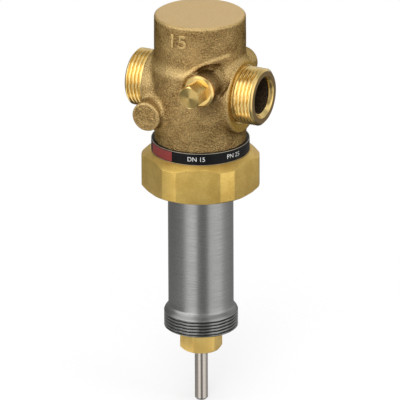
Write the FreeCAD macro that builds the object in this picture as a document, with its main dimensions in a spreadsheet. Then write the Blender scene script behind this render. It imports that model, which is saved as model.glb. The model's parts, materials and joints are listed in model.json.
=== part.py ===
# Small control valve: cast body with two threaded ports, union nut, steel neck and a sprung spindle.
# Millimetres. Origin at the middle of the actuator collar's end face, +Z up the spindle to the body,
# +X along the pipe to the outlet, -Y to the side with the test plug.
import math
import os

import FreeCAD
import Part
import Sketcher

SIZES = {
    # cast body, measured from the crossing of pipe axis and spindle axis
    "body_dia": 42.0,
    "belly_swell": 1.6,
    "belly_half": 10.2,
    "belly_fade": 5.4,
    "belly_ring_room": 3.3,
    "belly_round": 9.0,
    "body_rise": 35.4,
    "body_top_round": 1.1,
    "neck_drop": 38.6,
    "neck_step": 0.05,
    "neck_chamfer": 1.0,
    "port_stand": 1.4,
    "shoulder_under": 3.88,
    "shoulder_drop": 1.2,
    "port_thread_dia": 26.44,
    "port_thread_length": 10.1,
    "port_chamfer": 1.0,
    "port_bore_dia": 17.0,
    "port_mouth_land": 2.6,
    "port_mouth_depth": 1.8,
    "boss_dia": 14.0,
    "boss_stand": 2.4,
    "boss_room": 0.1,
    "boss_drop": 9.2,
    "boss_round": 0.7,
    "back_boss_stand": 1.9,
    # recess and threaded hole of the test plug
    "plug_port_room": 11.9,
    "plug_rise": 6.6,
    "plug_sink": 0.6,
    "plug_boss_dia": 14.0,
    "plug_room": 0.5,
    "plug_thread_dia": 9.7,
    "plug_thread_depth": 7.0,
    "plug_drill_dia": 4.0,
    "plug_washer_dia": 14.4,
    "plug_washer_thick": 1.0,
    "plug_collar_dia": 15.0,
    "plug_collar_thick": 1.6,
    "plug_collar_bevel": 0.9,
    "plug_hex_flats": 9.5,
    "plug_hex_length": 9.0,
    "plug_hex_turn": 0.5,
    "recess_dia": 15.6,
    "recess_shift": 3.1,
    "recess_lift": 3.3,
    "recess_depth": 9.5,
    # hollow of the body
    "neck_wall": 4.45,
    "neck_bore_depth": 14.0,
    "chamber_dia": 25.0,
    "chamber_slope": 4.0,
    "upper_chamber_dia": 18.0,
    "upper_chamber_rise": 16.5,
    "head_room_dia": 28.0,
    "head_room_slope": 5.0,
    "top_wall": 5.0,
    "inlet_wall": 3.0,
    "outlet_reach": 6.0,
    "inlet_slot_length": 6.5,
    "inlet_slot_width": 14.0,
    "inlet_slot_depth": 7.0,
    "port_wall": 4.0,
    # valve seat and balanced cone
    "seat_bore_dia": 13.0,
    "seat_wall": 2.1,
    "seat_length": 6.5,
    "seat_lip": 1.9,
    "seat_flange_thick": 1.5,
    "seat_bevel": 1.2,
    "travel": 4.0,
    "stop_room": 0.5,
    "piston_over": 1.0,
    "piston_length": 16.0,
    "piston_fit": 0.05,
    "cone_nose_under": 0.5,
    "cone_nose_length": 1.5,
    "cone_nose_chamfer": 0.5,
    "balance_hole_dia": 1.6,
    "balance_hole_circle": 8.4,
    "piston_ring_lift": 2.0,
    "piston_ring_width": 2.0,
    "piston_ring_depth": 1.2,
    "cone_nut_dia": 9.0,
    "cone_nut_flats": 8.0,
    "cone_nut_thick": 3.0,
    "sleeve_top": 17.0,
    "sleeve_foot": 7.0,
    "sleeve_flange_width": 2.5,
    "sleeve_flange_thick": 1.5,
    # spindle and its seals
    "spindle_dia": 6.0,
    "spindle_drop": 36.6,
    "spindle_tip_chamfer": 0.9,
    "spindle_step": 0.5,
    "spindle_end_over": 0.6,
    "spindle_fit": 0.05,
    "spindle_room": 0.3,
    "packing_room_dia": 14.0,
    "packing_floor": 12.0,
    "floor_thick": 3.0,
    "packing_thick": 2.0,
    "packing_washer_thick": 1.0,
    "gland_flats": 17.0,
    "gland_drop": 11.2,
    "gland_under_room": 1.0,
    "gland_bevel_dia": 16.4,
    "wiper_dia": 9.2,
    "wiper_thick": 1.6,
    # spring and guide in the neck tube
    "spring_plate_room": 1.5,
    "spring_plate_thick": 3.0,
    "plate_lift": 0.3,
    "clip_dia": 10.0,
    "clip_thick": 1.0,
    "clip_depth": 0.6,
    "clip_room": 0.6,
    "spring_mean_dia": 14.0,
    "spring_wire": 1.6,
    "spring_end_wire": 2.0,
    "spring_turns": 4.0,
    "guide_room": 10.8,
    "guide_thick": 6.0,
    "guide_clip_thick": 1.2,
    "guide_clip_depth": 0.8,
    "guide_clip_width": 2.3,
    # neck tube with actuator collar and flange
    "tube_dia": 30.0,
    "tube_bore_dia": 21.0,
    "collar_dia": 34.0,
    "collar_length": 8.2,
    "collar_chamfer": 0.5,
    "collar_slope": 3.0,
    "gland_recess_room": 0.9,
    "gland_recess_depth": 0.8,
    "flange_level": 72.2,
    "flange_land": 3.0,
    "flange_thick": 4.3,
    "gasket_thick": 1.6,
    # union nut and label ring
    "nut_wall": 4.05,
    "nut_corner": 2.0,
    "nut_height": 18.0,
    "nut_lip": 3.6,
    "nut_top_land": 2.1,
    "nut_top_slope": 2.8,
    "nut_bottom_bevel": 1.8,
    "nut_bottom_slope": 1.1,
    "nut_turn": -5.9,
    "nut_room": 0.3,
    "gland_turn": 4.9,
    "ring_wall": 1.5,
    "ring_height": 5.6,
}

doc = FreeCAD.newDocument("ControlValve")
sheet = doc.addObject("Spreadsheet::Sheet", "Sizes")
for row, (alias, value) in enumerate(SIZES.items(), start=1):
    sheet.set(f"A{row}", alias)
    sheet.set(f"B{row}", str(value))
    sheet.setAlias(f"B{row}", alias)
doc.recompute()


class Size:
    # a number together with the sheet expression that it comes from
    def __init__(self, value, text):
        self.value = value
        self.text = text

    def __add__(self, other):
        other = as_size(other)
        return Size(self.value + other.value, f"({self.text} + {other.text})")

    def __radd__(self, other):
        return as_size(other) + self

    def __sub__(self, other):
        other = as_size(other)
        return Size(self.value - other.value, f"({self.text} - {other.text})")

    def __rsub__(self, other):
        return as_size(other) - self

    def __mul__(self, factor):
        return Size(self.value * factor, f"({self.text} * {factor})")

    def __truediv__(self, factor):
        return Size(self.value / factor, f"({self.text} / {factor})")

    def __neg__(self):
        return Size(-self.value, f"(0 - {self.text})")


def as_size(number):
    return number if isinstance(number, Size) else Size(float(number), str(float(number)))


def size(alias):
    return Size(SIZES[alias], f"Sizes.{alias}")


def half(alias):
    return size(alias) / 2


def bind(target, path, length):
    target.setExpression(path, as_size(length).text)


# sketches: every corner is held from the sketch's own origin by two bound distances
def new_sketch(body, plane, shift=(0, 0, 0)):
    origin_plane = next(f for f in body.Origin.OriginFeatures if f.Role == plane)
    sketch = body.newObject("Sketcher::SketchObject", f"{body.Label}_sketch")
    sketch.AttachmentSupport = [(origin_plane, "")]
    sketch.MapMode = "FlatFace"
    shift = [as_size(part) for part in shift]
    sketch.AttachmentOffset = FreeCAD.Placement(FreeCAD.Vector(*[part.value for part in shift]),
                                                FreeCAD.Rotation())
    for axis, part in zip("xyz", shift):
        if part.text != "0.0":
            bind(sketch, f"AttachmentOffset.Base.{axis}", part)
    return sketch


def hold_point(sketch, geometry, end, across, up):
    for kind, axis, length in (("DistanceX", -2, across), ("DistanceY", -1, up)):
        if length.text == "0.0":
            sketch.addConstraint(Sketcher.Constraint("PointOnObject", geometry, end, axis))
        else:
            number = sketch.addConstraint(
                Sketcher.Constraint(kind, -1, 1, geometry, end, length.value))
            bind(sketch, f"Constraints[{number}]", length)


def draw_loop(sketch, corners):
    corners = [(as_size(across), as_size(up)) for across, up in corners]
    points = [FreeCAD.Vector(across.value, up.value, 0) for across, up in corners]
    first = sketch.GeometryCount
    count = len(points)
    for i in range(count):
        sketch.addGeometry(Part.LineSegment(points[i], points[(i + 1) % count]), False)
    for i in range(count):
        sketch.addConstraint(Sketcher.Constraint("Coincident", first + i, 2, first + (i + 1) % count, 1))
    for i, (across, up) in enumerate(corners):
        hold_point(sketch, first + i, 1, across, up)


def draw_circle(sketch, radius, across=0, up=0):
    radius, across, up = as_size(radius), as_size(across), as_size(up)
    middle = FreeCAD.Vector(across.value, up.value, 0)
    number = sketch.addGeometry(Part.Circle(middle, FreeCAD.Vector(0, 0, 1), radius.value), False)
    hold_point(sketch, number, 3, across, up)
    held = sketch.addConstraint(Sketcher.Constraint("Radius", number, radius.value))
    bind(sketch, f"Constraints[{held}]", radius)


def draw_hexagon(sketch, flats):
    flats = as_size(flats)
    corners = []
    for i in range(6):
        angle = 60 * i + 30
        reach = flats.value / 2 / math.cos(math.radians(30))
        text = f"{flats.text} / 2 / cos(30 deg)"
        across = Size(reach * math.cos(math.radians(angle)), f"({text} * cos({angle} deg))")
        up = Size(reach * math.sin(math.radians(angle)), f"({text} * sin({angle} deg))")
        corners.append((as_size(0) if angle % 180 == 90 else across, up))
    draw_loop(sketch, corners)


# features
def new_body(label):
    body = doc.addObject("PartDesign::Body", label)
    body.Label = label
    return body


def turn(body, corners, cut=False, plane="XZ_Plane", axis="V_Axis", shift=(0, 0, 0)):
    sketch = new_sketch(body, plane, shift)
    loops = corners if isinstance(corners[0][0], tuple) else [corners]
    for loop in loops:
        draw_loop(sketch, loop)
    kind = "PartDesign::Groove" if cut else "PartDesign::Revolution"
    feature = body.newObject(kind, f"{body.Label}_{'groove' if cut else 'turn'}")
    feature.Profile = sketch
    feature.ReferenceAxis = (sketch, [axis])
    feature.Angle = 360.0
    return finish(body, feature, sketch)


def extrude(body, sketch, length=None, cut=False, reverse=False, both_ways=False):
    kind = "PartDesign::Pocket" if cut else "PartDesign::Pad"
    feature = body.newObject(kind, f"{body.Label}_{'pocket' if cut else 'pad'}")
    feature.Profile = sketch
    feature.Reversed = reverse
    if both_ways:
        feature.Midplane = True
    if length is None:
        feature.Type = "ThroughAll"
    else:
        bind(feature, "Length", length)
    return finish(body, feature, sketch)


def soften_edges(body, chosen, amount, bevel=False):
    before = body.Tip
    names = [f"Edge{i}" for i, edge in enumerate(before.Shape.Edges, start=1) if chosen(edge)]
    feature = body.newObject("PartDesign::Chamfer" if bevel else "PartDesign::Fillet",
                             f"{body.Label}_{'bevel' if bevel else 'round'}")
    feature.Base = (before, names)
    bind(feature, "Size" if bevel else "Radius", amount)
    return finish(body, feature)


def finish(body, feature, sketch=None):
    if sketch:
        sketch.Visibility = False
    doc.recompute()
    if not feature.isValid() or feature.Shape.isNull():
        raise RuntimeError(f"{body.Label}: {feature.Name} failed")
    return feature


def hex_cut(body, flats, blank_dia, length=None, lift=0):
    sketch = new_sketch(body, "XY_Plane", (0, 0, lift))
    draw_hexagon(sketch, flats)
    draw_circle(sketch, as_size(blank_dia))
    return extrude(body, sketch, length=length, cut=True, reverse=True)


def place(body, lift=0, turned=0):
    lift, turned = as_size(lift), as_size(turned)
    body.Placement = FreeCAD.Placement(FreeCAD.Vector(0, 0, lift.value),
                                       FreeCAD.Rotation(FreeCAD.Vector(0, 0, 1), turned.value))
    bind(body, "Placement.Base.z", lift)
    if turned.text != "0.0":
        bind(body, "Placement.Rotation.Angle", turned)
    return body


def ring(label, bore, outside, height, lift):
    body = new_body(label)
    turn(body, [(bore, 0), (outside, 0), (outside, height), (bore, height)])
    return place(body, lift)


# radii and places shared by pieces that fit into each other
spindle_r = half("spindle_dia")
spindle_end_r = spindle_r - size("spindle_step")
running_bore = spindle_r + size("spindle_fit")
gland_corner = size("gland_flats") / math.cos(math.radians(30)) / 2
tube_bore_r = half("tube_bore_dia")
body_r = half("body_dia")
belly_r = body_r + size("belly_swell")
neck_r = body_r - size("neck_step")
neck_bore_r = neck_r - size("neck_wall")
flange_r = neck_bore_r + size("flange_land")
nut_flats = (neck_r + size("nut_wall")) * 2
nut_r = nut_flats / 2 + size("nut_corner")
seat_bore_r = half("seat_bore_dia")
seat_thread_r = seat_bore_r + size("seat_wall")
piston_r = seat_bore_r + size("piston_over")
nose_r = seat_bore_r - size("cone_nose_under")
sleeve_flange_r = tube_bore_r + size("sleeve_flange_width")
guide_clip_r = tube_bore_r + size("guide_clip_depth")
port_bore_r = half("port_bore_dia")
port_end_r = half("port_thread_dia")
shoulder_r = body_r - size("shoulder_under")
shoulder_x = body_r + size("port_stand")
half_length = shoulder_x + size("port_thread_length")
boss_side = shoulder_x - half("boss_dia") - size("boss_room")
plug_side = shoulder_x - size("plug_port_room")
plug_face = body_r - size("plug_sink")
recess_face = body_r - size("recess_depth")
recess_side = plug_side + size("recess_shift")
recess_rise = size("plug_rise") + size("recess_lift")

# levels over the actuator collar's end face
flange_top = size("flange_level") + size("flange_thick")
neck_end = flange_top + size("gasket_thick")
pipe_level = neck_end + size("neck_drop")
nut_level = size("flange_level") - size("nut_lip")
ring_level = nut_level + size("nut_height")
spring_floor = size("packing_floor") + size("floor_thick")
plate_level = spring_floor + size("plate_lift")
plate_top = plate_level + size("spring_plate_thick")
sleeve_level = flange_top - size("sleeve_flange_thick") - size("sleeve_foot")
guide_clip_level = sleeve_level - size("guide_room") - size("guide_clip_thick")
guide_level = guide_clip_level - size("guide_thick")

# levels from the pipe axis
belly_low_end = ring_level + size("ring_height") + size("belly_ring_room") - pipe_level
partition_under = -(port_bore_r + size("port_wall"))
partition_top = partition_under + size("seat_length")
seat_edge = partition_under - size("seat_flange_thick") + size("seat_bevel")
cone_foot = (pipe_level + seat_edge - size("travel") - size("stop_room") - size("piston_over")
             - size("piston_length"))
cone_height = size("piston_length") + piston_r - nose_r + size("cone_nose_length")


def make_valve_body():
    body = new_body("valve_body")
    rise, bottom = size("body_rise"), -size("neck_drop")
    thread_top = bottom + ring_level - neck_end
    flat = size("belly_half")
    end = flat + size("belly_fade")
    turn(body, [(0, bottom), (neck_r - size("neck_chamfer"), bottom), (neck_r, bottom + size("neck_chamfer")),
                (neck_r, thread_top), (body_r, thread_top), (body_r, belly_low_end), (belly_r, -flat),
                (belly_r, flat), (body_r, end), (body_r, rise), (0, rise)])
    swell = [level.value for level in (flat, -flat, end)]
    soften_edges(body, lambda edge: is_level_circle(edge, swell), size("belly_round"))
    # barrel along the pipe, up to the shoulders of the two ports; cast a little low of the threads
    barrel = new_sketch(body, "YZ_Plane")
    draw_circle(barrel, shoulder_r, 0, -size("shoulder_drop"))
    extrude(body, barrel, shoulder_x * 2, both_ways=True)
    soften_edges(body, lambda edge: is_level_circle(edge, [rise.value]), size("body_top_round"))
    # blank cast bosses: one low pair front and back at the inlet, one high at the back
    reach, back_reach = belly_r + size("boss_stand"), belly_r + size("back_boss_stand")
    low = new_sketch(body, "XZ_Plane")
    draw_circle(low, half("boss_dia"), -boss_side, -size("boss_drop"))
    extrude(body, low, reach * 2, both_ways=True)
    high = new_sketch(body, "XZ_Plane")
    draw_circle(high, half("boss_dia"), plug_side, size("plug_rise"))
    extrude(body, high, back_reach, reverse=True)
    reaches = [reach.value, -reach.value, back_reach.value]
    soften_edges(body, lambda edge: is_circle(edge, half("boss_dia").value)
                 and any(abs(edge.CenterOfMass.y - y) < 0.01 for y in reaches), size("boss_round"))
    # cast recess beside the plug, and the boss the plug seats on
    recess = new_sketch(body, "XZ_Plane", (0, 0, recess_face))
    draw_circle(recess, half("recess_dia"), recess_side, recess_rise)
    extrude(body, recess, cut=True, reverse=True)
    seat_boss = new_sketch(body, "XZ_Plane")
    draw_circle(seat_boss, half("plug_boss_dia"), plug_side, size("plug_rise"))
    extrude(body, seat_boss, plug_face)
    # threaded ports
    chamfer = size("port_chamfer")
    for side in (1, -1):
        turn(body, [(0, 0), (0, port_end_r), ((half_length - chamfer) * side, port_end_r),
                    (half_length * side, port_end_r - chamfer), (half_length * side, 0)], axis="H_Axis")
    make_body_hollow(body)
    return place(body, pipe_level)


def is_circle(edge, radius):
    return isinstance(edge.Curve, Part.Circle) and abs(edge.Curve.Radius - radius) < 0.01


def is_level_circle(edge, levels):
    flat_lying = isinstance(edge.Curve, Part.Circle) and abs(edge.Curve.Axis.z) > 0.99
    return flat_lying and any(abs(edge.CenterOfMass.z - level) < 0.01 for level in levels)


def make_body_hollow(body):
    bottom = -size("neck_drop")
    step = bottom + size("neck_bore_depth")
    wide_top = size("body_rise") - size("top_wall")
    turn(body, [(0, bottom), (neck_bore_r, bottom), (neck_bore_r, step),
                (half("chamber_dia"), step + size("chamber_slope")), (half("chamber_dia"), partition_under),
                (seat_thread_r, partition_under), (seat_thread_r, partition_top),
                (half("upper_chamber_dia"), partition_top),
                (half("upper_chamber_dia"), size("upper_chamber_rise")),
                (half("head_room_dia"), size("upper_chamber_rise") + size("head_room_slope")),
                (half("head_room_dia"), wide_top), (0, wide_top)], cut=True)
    inlet_end = half("upper_chamber_dia") + size("inlet_wall")
    mouth = port_end_r - size("port_chamfer") - size("port_mouth_land")
    depth = size("port_mouth_depth")
    for side, end in ((1, size("outlet_reach")), (-1, inlet_end)):
        turn(body, [(half_length * side, 0), (half_length * side, mouth),
                    ((half_length - depth) * side, port_bore_r), (end * side, port_bore_r), (end * side, 0)],
             cut=True, axis="H_Axis")
    slot = new_sketch(body, "XZ_Plane")
    slot_top, slot_foot = -port_bore_r / 2, partition_under - size("inlet_slot_depth")
    draw_loop(slot, [(-inlet_end, slot_foot), (-inlet_end, slot_top),
                     (-inlet_end - size("inlet_slot_length"), slot_top),
                     (-inlet_end - size("inlet_slot_length"), slot_foot)])
    extrude(body, slot, size("inlet_slot_width"), cut=True, both_ways=True)
    face, room = plug_face, half("plug_collar_dia") + size("plug_room")
    thread_end = face - size("plug_thread_depth")
    turn(body, [(0, -belly_r * 2), (room, -belly_r * 2), (room, -face),
                (half("plug_thread_dia"), -face), (half("plug_thread_dia"), -thread_end),
                (half("plug_drill_dia"), -thread_end), (half("plug_drill_dia"), 0), (0, 0)],
         cut=True, plane="XY_Plane", shift=(plug_side, 0, size("plug_rise")))


def make_seat_ring():
    body = new_body("seat_ring")
    bevel, thick = size("seat_bevel"), size("seat_flange_thick")
    top = thick + size("seat_length")
    flange = seat_thread_r + size("seat_lip")
    turn(body, [(seat_bore_r + bevel, 0), (flange, 0), (flange, thick), (seat_thread_r, thick),
                (seat_thread_r, top), (seat_bore_r, top), (seat_bore_r, bevel)])
    return place(body, pipe_level + partition_under - thick)


def make_valve_cone():
    body = new_body("valve_cone")
    slope_top = size("piston_length") + piston_r - nose_r
    low = size("piston_ring_lift")
    high = low + size("piston_ring_width")
    groove = piston_r - size("piston_ring_depth")
    chamfer = size("cone_nose_chamfer")
    turn(body, [(spindle_end_r, 0), (piston_r, 0), (piston_r, low), (groove, low), (groove, high),
                (piston_r, high), (piston_r, size("piston_length")), (nose_r, slope_top),
                (nose_r, cone_height - chamfer), (nose_r - chamfer, cone_height),
                (spindle_end_r, cone_height)])
    holes = new_sketch(body, "XY_Plane")
    for side in (1, -1):
        draw_circle(holes, half("balance_hole_dia"), half("balance_hole_circle") * side, 0)
    extrude(body, holes, cut=True, reverse=True)
    return place(body, cone_foot)


def make_cone_nut():
    body = new_body("cone_nut")
    outside, thick = half("cone_nut_dia"), size("cone_nut_thick")
    turn(body, [(spindle_end_r, 0), (outside, 0), (outside, thick), (spindle_end_r, thick)])
    hex_cut(body, size("cone_nut_flats"), size("cone_nut_dia"))
    return place(body, cone_foot + cone_height)


def make_spindle():
    body = new_body("spindle")
    drop, chamfer, end = size("spindle_drop"), size("spindle_tip_chamfer"), spindle_end_r
    top = drop + cone_foot + cone_height + size("cone_nut_thick") + size("spindle_end_over")
    groove_low = drop + plate_level + size("clip_room")
    groove_high = groove_low + size("clip_thick")
    groove_r = spindle_r - size("clip_depth")
    turn(body, [(0, 0), (spindle_r - chamfer, 0), (spindle_r, chamfer), (spindle_r, groove_low),
                (groove_r, groove_low), (groove_r, groove_high), (spindle_r, groove_high),
                (spindle_r, drop + cone_foot), (end, drop + cone_foot), (end, top), (0, top)])
    return place(body, -drop)


def make_sleeve():
    body = new_body("balance_sleeve")
    bore, foot = piston_r + size("piston_fit"), size("sleeve_foot")
    flange_end = foot + size("sleeve_flange_thick")
    top = flange_end + size("sleeve_top")
    turn(body, [(bore, 0), (tube_bore_r, 0), (tube_bore_r, foot), (sleeve_flange_r, foot),
                (sleeve_flange_r, flange_end), (tube_bore_r, flange_end), (tube_bore_r, top), (bore, top)])
    return place(body, sleeve_level)


def make_bonnet_tube():
    body = new_body("bonnet_tube")
    tube, collar, length = half("tube_dia"), half("collar_dia"), size("collar_length")
    chamfer, flange_level = size("collar_chamfer"), size("flange_level")
    floor, packing = size("packing_floor"), half("packing_room_dia")
    hole = spindle_r + size("spindle_room")
    groove_low, groove_high = guide_clip_level, guide_clip_level + size("guide_clip_thick")
    foot_low = flange_top - size("sleeve_flange_thick")
    recess, depth = gland_corner + size("gland_recess_room"), size("gland_recess_depth")
    turn(body, [(packing, depth), (recess, depth), (recess, 0), (collar - chamfer, 0), (collar, chamfer),
                (collar, length), (tube, length + size("collar_slope")), (tube, flange_level),
                (flange_r, flange_level), (flange_r, flange_top), (sleeve_flange_r, flange_top),
                (sleeve_flange_r, foot_low), (tube_bore_r, foot_low), (tube_bore_r, groove_high),
                (guide_clip_r, groove_high), (guide_clip_r, groove_low), (tube_bore_r, groove_low),
                (tube_bore_r, spring_floor), (hole, spring_floor), (hole, floor), (packing, floor)])
    return place(body)


def make_union_nut():
    body = new_body("union_nut")
    top, bottom = neck_r + size("nut_top_land"), nut_r - size("nut_bottom_bevel")
    hole = half("tube_dia") + size("nut_room")
    height, lip = size("nut_height"), size("nut_lip")
    turn(body, [(hole, 0), (bottom, 0), (nut_r, size("nut_bottom_slope")),
                (nut_r, height - size("nut_top_slope")), (top, height), (neck_r, height), (neck_r, lip),
                (hole, lip)])
    hex_cut(body, nut_flats, nut_r * 2)
    return place(body, nut_level, size("nut_turn"))


def make_gland_nut():
    body = new_body("gland_nut")
    bore, thread = running_bore, half("packing_room_dia")
    corner, bevel = gland_corner, half("gland_bevel_dia")
    slope = (corner - bevel) * math.tan(math.radians(30))
    hex_top = size("gland_drop") - size("gland_under_room")
    top = (size("gland_drop") + size("packing_floor") - size("packing_washer_thick")
           - size("packing_thick") * 3)
    wiper, wiper_top = half("wiper_dia"), size("wiper_thick")
    turn(body, [(wiper, 0), (bevel, 0), (corner, slope), (corner, hex_top), (thread, hex_top), (thread, top),
                (bore, top), (bore, wiper_top), (wiper, wiper_top)])
    hex_cut(body, size("gland_flats"), corner * 2.2, length=hex_top)
    return place(body, -size("gland_drop"), size("gland_turn"))


def make_test_plug():
    body = new_body("test_plug")
    thread, collar = half("plug_thread_dia"), half("plug_collar_dia")
    shank = size("plug_thread_depth") + size("plug_washer_thick")
    hex_foot = shank + size("plug_collar_thick")
    hex_end = hex_foot + size("plug_hex_length")
    corner = size("plug_hex_flats") / math.cos(math.radians(30)) / 2
    bevel = half("plug_hex_flats")
    slope = (corner - bevel) * math.tan(math.radians(30))
    lip = size("plug_collar_bevel")
    turn(body, [(0, 0), (thread, 0), (thread, shank), (collar, shank), (collar, hex_foot - lip),
                (collar - lip, hex_foot), (corner, hex_foot), (corner, hex_end - slope), (bevel, hex_end),
                (0, hex_end)])
    hex_cut(body, size("plug_hex_flats"), size("plug_hex_flats") * 1.3, lift=hex_foot)
    return place_on_plug_axis(body, plug_face - size("plug_thread_depth"), size("plug_hex_turn"))


def place_on_plug_axis(body, depth, turned=0):
    depth, turned = as_size(depth), as_size(turned)
    x, z = plug_side, pipe_level + size("plug_rise")
    outward = FreeCAD.Rotation(FreeCAD.Vector(1, 0, 0), 90)
    spin = FreeCAD.Rotation(FreeCAD.Vector(0, 0, 1), turned.value)
    body.Placement = FreeCAD.Placement(FreeCAD.Vector(x.value, -depth.value, z.value), outward * spin)
    for axis, length in (("x", x), ("y", -depth), ("z", z)):
        bind(body, f"Placement.Base.{axis}", length)
    return body


def make_plug_washer():
    body = new_body("plug_washer")
    bore, outside, thick = half("plug_thread_dia"), half("plug_washer_dia"), size("plug_washer_thick")
    turn(body, [(bore, 0), (outside, 0), (outside, thick), (bore, thick)])
    return place_on_plug_axis(body, plug_face)


def make_spring_plate():
    body = new_body("spring_plate")
    outside, thick = tube_bore_r - size("spring_plate_room"), size("spring_plate_thick")
    room, room_top = half("clip_dia"), size("clip_room") + size("clip_thick")
    turn(body, [(room, 0), (outside, 0), (outside, thick), (spindle_r, thick), (spindle_r, room_top),
                (room, room_top)])
    return place(body, plate_level)


def make_return_spring():
    body = new_body("return_spring")
    wire, end_wire, mean = size("spring_wire"), size("spring_end_wire"), half("spring_mean_dia")
    length = guide_level - plate_top
    inner, outer = mean - end_wire / 2, mean + end_wire / 2
    for low, high in ((as_size(0), end_wire), (length - end_wire, length)):
        turn(body, [(inner, low), (outer, low), (outer, high), (inner, high)])
    coil = new_sketch(body, "XZ_Plane")
    low = (end_wire - wire) / 2
    draw_loop(coil, [(mean - wire / 2, low), (mean + wire / 2, low), (mean + wire / 2, low + wire),
                     (mean - wire / 2, low + wire)])
    helix = body.newObject("PartDesign::AdditiveHelix", "return_spring_coil")
    helix.Profile = coil
    helix.ReferenceAxis = (coil, ["V_Axis"])
    helix.Mode = "height-turns-angle"
    helix.Angle = 0
    bind(helix, "Height", length - end_wire)
    bind(helix, "Turns", size("spring_turns"))
    finish(body, helix, coil)
    return place(body, plate_top)


def make_all():
    make_valve_body()
    make_seat_ring()
    make_valve_cone()
    make_cone_nut()
    make_spindle()
    ring("piston_ring", piston_r - size("piston_ring_depth"), piston_r, size("piston_ring_width"),
         cone_foot + size("piston_ring_lift"))
    make_sleeve()
    make_bonnet_tube()
    ring("bonnet_gasket", neck_bore_r, flange_r, size("gasket_thick"), flange_top)
    make_union_nut()
    ring("label_ring", body_r, body_r + size("ring_wall"), size("ring_height"), ring_level)
    ring("guide_bush", running_bore, tube_bore_r, size("guide_thick"), guide_level)
    ring("guide_clip", guide_clip_r - size("guide_clip_width"), guide_clip_r, size("guide_clip_thick"),
         guide_clip_level)
    make_return_spring()
    make_spring_plate()
    ring("spindle_clip", spindle_r - size("clip_depth"), half("clip_dia"), size("clip_thick"),
         plate_level + size("clip_room"))
    packing_top = size("packing_floor") - size("packing_washer_thick")
    ring("packing_washer", running_bore, half("packing_room_dia"), size("packing_washer_thick"), packing_top)
    for number in (1, 2, 3):
        ring(f"packing_ring_{number}", running_bore, half("packing_room_dia"), size("packing_thick"),
             packing_top - size("packing_thick") * number)
    make_gland_nut()
    ring("wiper_ring", running_bore, half("wiper_dia"), size("wiper_thick"), -size("gland_drop"))
    make_test_plug()
    make_plug_washer()


make_all()
doc.recompute()
os.makedirs("parts", exist_ok=True)
for part in doc.findObjects("PartDesign::Body"):
    faults = {"Invalid", "Error"} & set(part.State)
    if faults or part.Shape.isNull() or not part.Shape.isValid() or len(part.Shape.Solids) != 1:
        raise RuntimeError(f"{part.Label} is not one sound solid: {faults}")
    part.Shape.exportStep(f"parts/{part.Label}.step")
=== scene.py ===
import json
import math

import bmesh
import bpy
import numpy as np
from mathutils import Matrix, Vector, noise

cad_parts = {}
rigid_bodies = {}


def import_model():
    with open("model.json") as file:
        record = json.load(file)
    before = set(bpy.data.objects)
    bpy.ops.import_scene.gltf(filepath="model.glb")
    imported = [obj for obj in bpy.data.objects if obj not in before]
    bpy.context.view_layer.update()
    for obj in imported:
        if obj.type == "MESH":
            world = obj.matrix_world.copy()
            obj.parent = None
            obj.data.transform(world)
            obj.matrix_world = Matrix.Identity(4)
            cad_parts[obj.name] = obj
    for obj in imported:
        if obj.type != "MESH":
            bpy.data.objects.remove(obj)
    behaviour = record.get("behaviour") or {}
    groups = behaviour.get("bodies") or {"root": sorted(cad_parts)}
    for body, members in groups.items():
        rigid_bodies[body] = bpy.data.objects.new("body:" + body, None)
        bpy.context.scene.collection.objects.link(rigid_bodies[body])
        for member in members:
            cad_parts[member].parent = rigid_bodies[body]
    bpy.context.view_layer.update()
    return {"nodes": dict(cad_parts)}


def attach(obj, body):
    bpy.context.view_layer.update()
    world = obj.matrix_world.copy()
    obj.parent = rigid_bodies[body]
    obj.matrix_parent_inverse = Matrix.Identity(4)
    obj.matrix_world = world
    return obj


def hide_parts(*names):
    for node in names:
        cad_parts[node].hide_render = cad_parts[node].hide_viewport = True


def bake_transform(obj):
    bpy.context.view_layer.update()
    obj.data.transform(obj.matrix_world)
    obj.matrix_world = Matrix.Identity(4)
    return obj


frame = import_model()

nodes = frame["nodes"]
mm = 0.001
pipeLevel = 116.7  # pipe axis over the collar's end face, in mm
print("frame loaded:", len(nodes), "nodes")


def newObject(name, data):
    thing = bpy.data.objects.new(name, data)
    bpy.context.collection.objects.link(thing)
    return thing


# camera, as the photograph looks at the valve
cameraLook = {"azimuth": 27.0, "elevation": 21.0, "distance": 4.0, "lens": 787.0, "sensor": 36, "clipEnd": 20,
              "aimAside": -0.0003, "aimLevel": 0.0613, "roll": 0.22}


def setCamera(look):
    az, el = math.radians(look["azimuth"]), math.radians(look["elevation"])
    away = Vector((math.sin(az) * math.cos(el), -math.cos(az) * math.cos(el), math.sin(el)))
    aside = Vector((math.cos(az), math.sin(az), 0))
    aim = aside * look["aimAside"] + Vector((0, 0, look["aimLevel"]))
    data = bpy.data.cameras.new("photoCamera")
    data.sensor_width = look["sensor"]
    data.lens = look["lens"]
    data.clip_end = look["clipEnd"]
    camera = newObject("photoCamera", data)
    turn = away.to_track_quat("Z", "Y").to_matrix().to_4x4()
    roll = Matrix.Rotation(math.radians(-look["roll"]), 4, "Z")
    camera.matrix_world = Matrix.Translation(aim + away * look["distance"]) @ turn @ roll
    bpy.context.scene.camera = camera


setCamera(cameraLook)
print("camera set")


# node helpers: a node stands one column right of what feeds it
editor = {"column": 220, "row": -300, "groupEnd": (1800, 0), "shader": (4200, 0), "output": (4600, 0)}


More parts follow.
